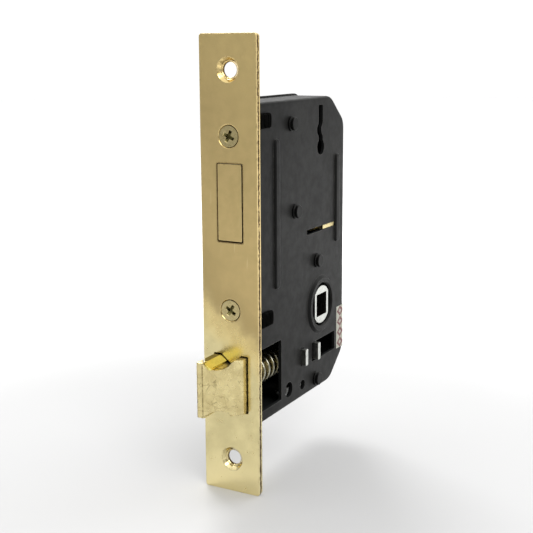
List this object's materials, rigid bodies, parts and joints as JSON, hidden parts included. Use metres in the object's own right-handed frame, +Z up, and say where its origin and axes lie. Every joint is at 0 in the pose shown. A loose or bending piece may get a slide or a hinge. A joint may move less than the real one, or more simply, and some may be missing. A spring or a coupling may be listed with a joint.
{
  "type": "mortise lock",
  "caption": "Mortise door lock: brass forend, black pressed case, sprung bevelled latch with anti-friction tongue, key-thrown deadbolt, lever tumblers and spindle follower.",
  "frame": {"origin": "centre of the faceplate's front face", "axes": "+X across the door's thickness towards the pressed side of the case, +Y from the faceplate into the door, +Z up along the faceplate"},
  "size_m": [0.022, 0.0887, 0.16],
  "materials": {
    "satin_brass": "satin, finely brushed along Z, with faint stains",
    "cast_brass": "cast and tumbled, semi-bright",
    "polished_brass": "mirror polished",
    "black_paint": "satin black stove enamel on pressed steel",
    "zinc": "zinc plated, slightly tumbled",
    "spring_steel": "drawn wire, pale yellow passivate",
    "steel": "turned steel",
    "label_paper": "matt paper sticker with plain red bars"
  },
  "bodies": {
    "case": {"faceplate": "satin_brass", "forend": "satin_brass", "faceplate_screw_upper": "satin_brass", "faceplate_screw_lower": "satin_brass", "case_shell": "black_paint", "back_plate": "black_paint", "pillar_front_top": "black_paint", "lever_pivot_post": "black_paint", "hub_spring_post": "black_paint", "pillar_bottom": "black_paint", "fixing_lug_upper": "black_paint", "fixing_lug_lower": "black_paint", "spacer_bush_large": "steel", "spacer_bush_small": "steel", "latch_bracket": "zinc", "blank_label": "label_paper", "latch_spring": "spring_steel", "lever_spring_1": "spring_steel", "lever_spring_2": "spring_steel", "lever_spring_3": "spring_steel", "hub_spring": "spring_steel", "spring_anchor_pin": "steel"},
    "latch": {"latch_bolt": "cast_brass", "latch_pin": "spring_steel", "latch_stem": "cast_brass", "latch_tail": "zinc", "tongue_spring": "spring_steel"},
    "tongue": {"anti_friction_tongue": "polished_brass"},
    "deadbolt": {"deadbolt": "satin_brass", "deadbolt_tail": "cast_brass", "deadbolt_rivet": "steel", "deadbolt_stump": "steel"},
    "lever_1": {"lever_1": "cast_brass"},
    "lever_2": {"lever_2": "cast_brass"},
    "lever_3": {"lever_3": "cast_brass"},
    "follower": {"follower_hub": "zinc"}
  },
  "joints": [
    {"name": "hub_turn", "type": "hinge", "parent": "case", "child": "follower", "pos_m": [0, 0.055, -0.023], "axis": [1, 0, 0], "range_deg": [0, 45], "stiffness_Nm_per_rad": 0.06, "springref_deg": -34.38, "deforming": ["hub_spring"]},
    {"name": "latch_slide", "type": "slide", "parent": "case", "child": "latch", "axis": [0, 1, 0], "range_m": [0, 0.012], "stiffness_N_per_m": 300, "springref_m": -0.01, "deforming": ["latch_spring"]},
    {"name": "tongue_slide", "type": "slide", "parent": "latch", "child": "tongue", "axis": [0, 1, 0], "range_m": [0, 0.006], "stiffness_N_per_m": 50, "springref_m": -0.004, "deforming": ["tongue_spring"]},
    {"name": "deadbolt_slide", "type": "slide", "parent": "case", "child": "deadbolt", "axis": [0, -1, 0], "range_m": [0, 0.0135]},
    {"name": "lever_turn_1", "type": "hinge", "parent": "case", "child": "lever_1", "pos_m": [0, 0.0335, 0.0165], "axis": [1, 0, 0], "range_deg": [-8, 0], "stiffness_Nm_per_rad": 0.02, "springref_deg": 14.32, "deforming": ["lever_spring_1"]},
    {"name": "lever_turn_2", "type": "hinge", "parent": "case", "child": "lever_2", "pos_m": [0, 0.0335, 0.0165], "axis": [1, 0, 0], "range_deg": [-8, 0], "stiffness_Nm_per_rad": 0.02, "springref_deg": 14.32, "deforming": ["lever_spring_2"]},
    {"name": "lever_turn_3", "type": "hinge", "parent": "case", "child": "lever_3", "pos_m": [0, 0.0335, 0.0165], "axis": [1, 0, 0], "range_deg": [-8, 0], "stiffness_Nm_per_rad": 0.02, "springref_deg": 14.32, "deforming": ["lever_spring_3"]}
  ],
  "couplings": [
    {"joint": "hub_turn", "follows": "latch_slide", "rad_per_m": 65.45}
  ]
}
